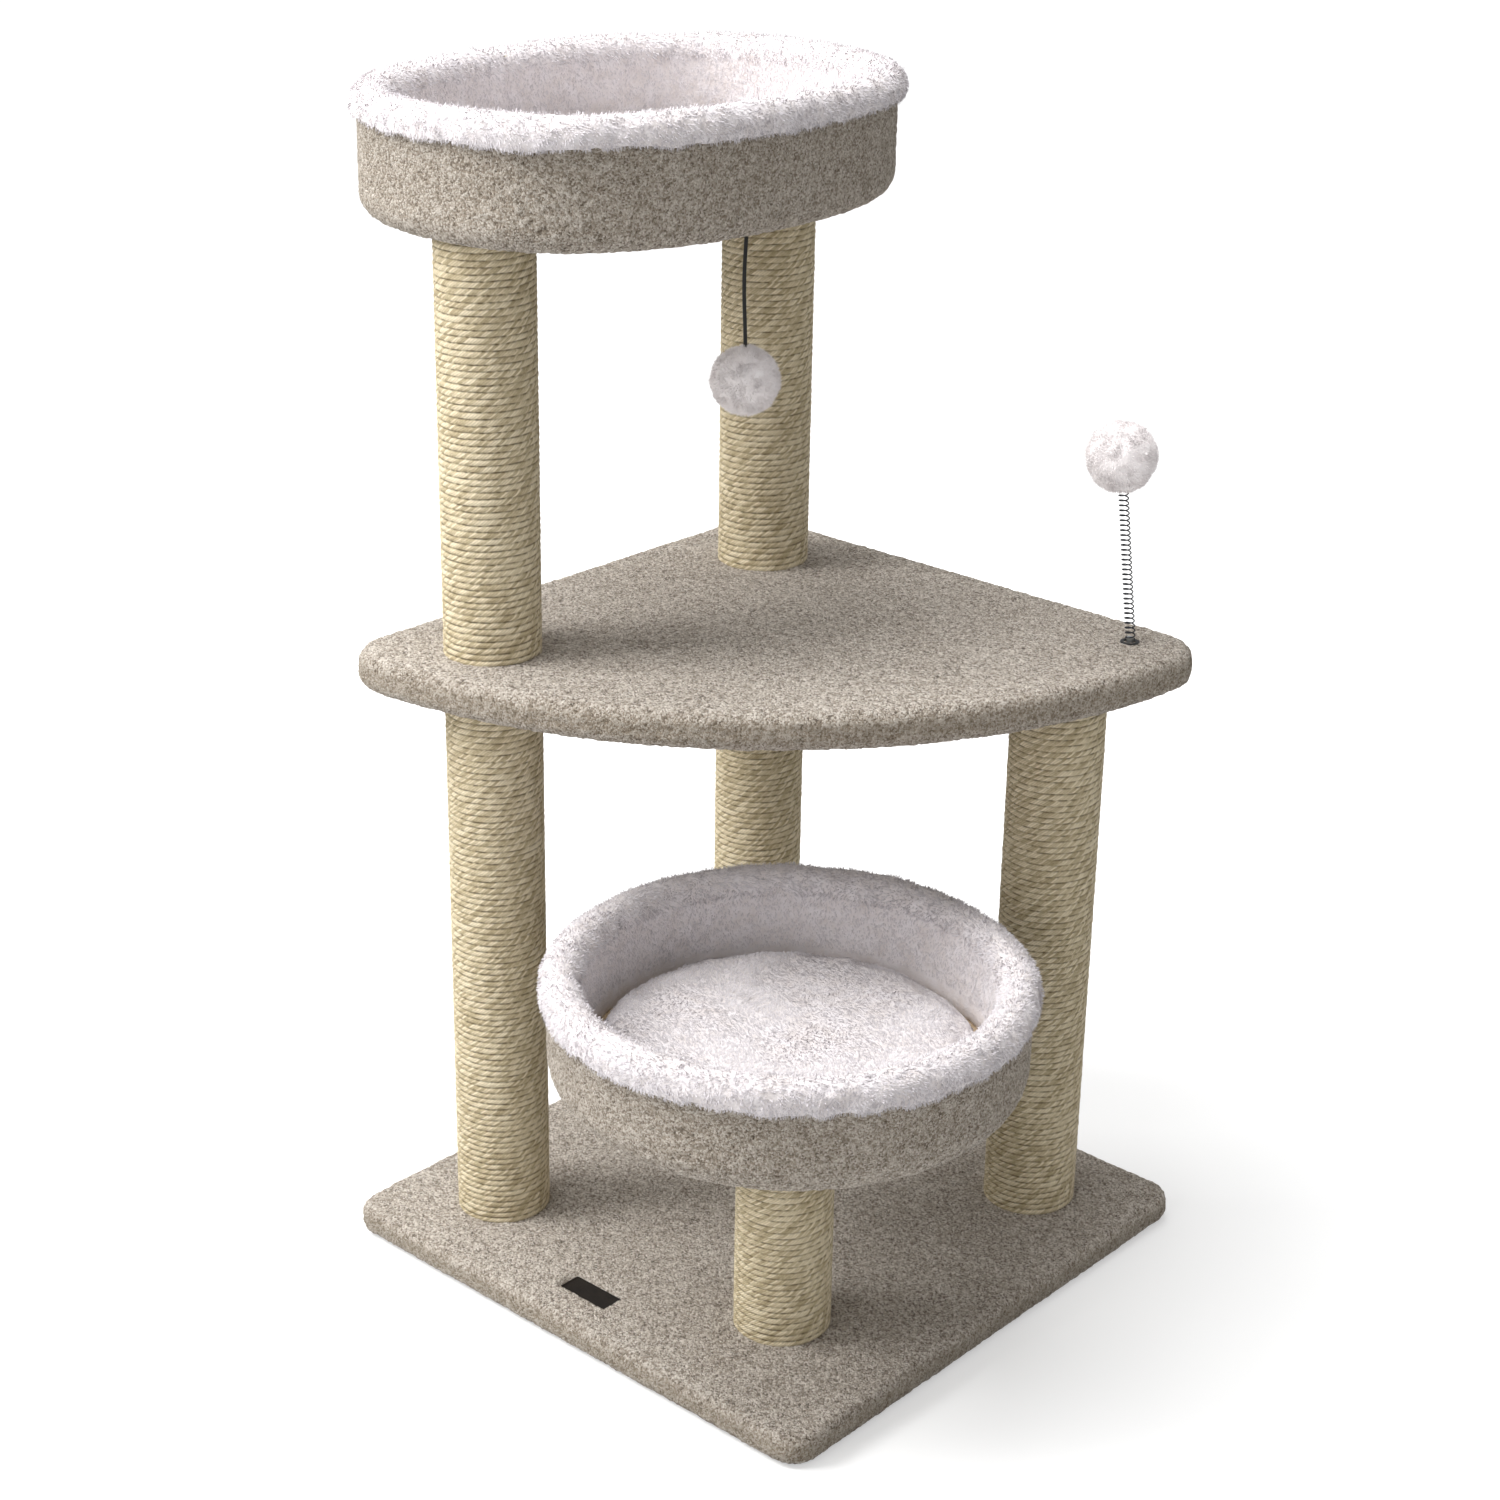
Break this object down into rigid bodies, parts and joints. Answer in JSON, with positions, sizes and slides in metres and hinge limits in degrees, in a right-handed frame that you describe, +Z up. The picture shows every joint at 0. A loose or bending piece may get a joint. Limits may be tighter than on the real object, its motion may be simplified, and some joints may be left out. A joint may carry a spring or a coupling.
{
  "type": "cat tree",
  "caption": "Free-standing cat tree: square carpeted base, sisal posts, quarter-round platform, an oval and a round plush bed, a hanging pompom and a pompom on a spring.",
  "frame": {"origin": "on the floor under the middle of the square base", "axes": "+Z up; the base's sides run along X and Y; the platform's right-angled corner points to -X +Y, and the round lower bed lies towards +X -Y"},
  "size_m": [0.756, 0.662, 1.106],
  "materials": {
    "carpet": "cut pile, mottled warm grey and sand",
    "sisal": "twisted natural fibre rope, wound tight",
    "plush": "short white plush",
    "pompom_fur": "white fluff",
    "chipboard": "raw board",
    "plug_wood": "raw wood",
    "cardboard": "wound cardboard",
    "foam": "soft foam",
    "lining_cloth": "black non-woven cloth",
    "label": "blank dark plate, satin",
    "zinc_steel": "zinc plated",
    "brass": "plain",
    "spring_steel": "bright nickel plated wire",
    "black_plastic": "moulded, satin",
    "elastic_cord": "black braided elastic"
  },
  "bodies": {
    "root": {"base_board": "chipboard", "base_carpet": "carpet", "base_lining": "lining_cloth", "label_plate": "label", "base_bolts": "zinc_steel", "base_washers": "zinc_steel", "threaded_inserts": "brass", "left_post_tube": "cardboard", "left_post_rope": "sisal", "left_post_bottom_plug": "plug_wood", "left_post_top_plug": "plug_wood", "back_post_tube": "cardboard", "back_post_rope": "sisal", "back_post_bottom_plug": "plug_wood", "back_post_top_plug": "plug_wood", "right_post_tube": "cardboard", "right_post_rope": "sisal", "right_post_bottom_plug": "plug_wood", "right_post_top_plug": "plug_wood", "front_post_tube": "cardboard", "front_post_rope": "sisal", "front_post_bottom_plug": "plug_wood", "front_post_top_plug": "plug_wood", "upper_left_post_tube": "cardboard", "upper_left_post_rope": "sisal", "upper_left_post_bottom_plug": "plug_wood", "upper_left_post_top_plug": "plug_wood", "upper_back_post_tube": "cardboard", "upper_back_post_rope": "sisal", "upper_back_post_bottom_plug": "plug_wood", "upper_back_post_top_plug": "plug_wood", "platform_board": "chipboard", "platform_carpet": "carpet", "platform_studs": "zinc_steel", "platform_bolt": "zinc_steel", "platform_washer": "zinc_steel", "spring_socket": "black_plastic", "spring_pin": "zinc_steel", "cord_knot": "elastic_cord", "upper_bed_floor": "chipboard", "upper_bed_hoop": "cardboard", "upper_bed_foam": "foam", "upper_bed_carpet": "carpet", "upper_bed_lining": "plush", "upper_bed_bolts": "zinc_steel", "upper_bed_washers": "zinc_steel", "lower_bed_floor": "chipboard", "lower_bed_hoop": "cardboard", "lower_bed_foam": "foam", "lower_bed_carpet": "carpet", "lower_bed_lining": "plush", "lower_bed_bolts": "zinc_steel", "lower_bed_washers": "zinc_steel"},
    "hanging_toy": {"hanging_cord": "elastic_cord", "hanging_pompom": "pompom_fur"},
    "spring_toy": {"toy_spring": "spring_steel", "spring_pompom": "pompom_fur"},
    "upper_pad": {"upper_bed_pad": "plush"},
    "lower_pad": {"lower_bed_pad": "plush"}
  },
  "joints": [
    {"name": "cord_swing", "type": "hinge", "parent": "root", "child": "hanging_toy", "pos_m": [-0.065, 0.02, 0.99], "axis": [0.7071, -0.7071, 0], "range_deg": [-45, 45]},
    {"name": "spring_sway", "type": "hinge", "parent": "root", "child": "spring_toy", "pos_m": [0.221, 0.238, 0.6145], "axis": [0.7071, -0.7071, 0], "range_deg": [-40, 40], "stiffness_Nm_per_rad": 0.15},
    {"name": "upper_pad_lift", "type": "slide", "parent": "root", "child": "upper_pad", "axis": [0, 0, 1], "range_m": [0, 0.12]},
    {"name": "lower_pad_lift", "type": "slide", "parent": "root", "child": "lower_pad", "axis": [0, 0, 1], "range_m": [0, 0.12]}
  ]
}
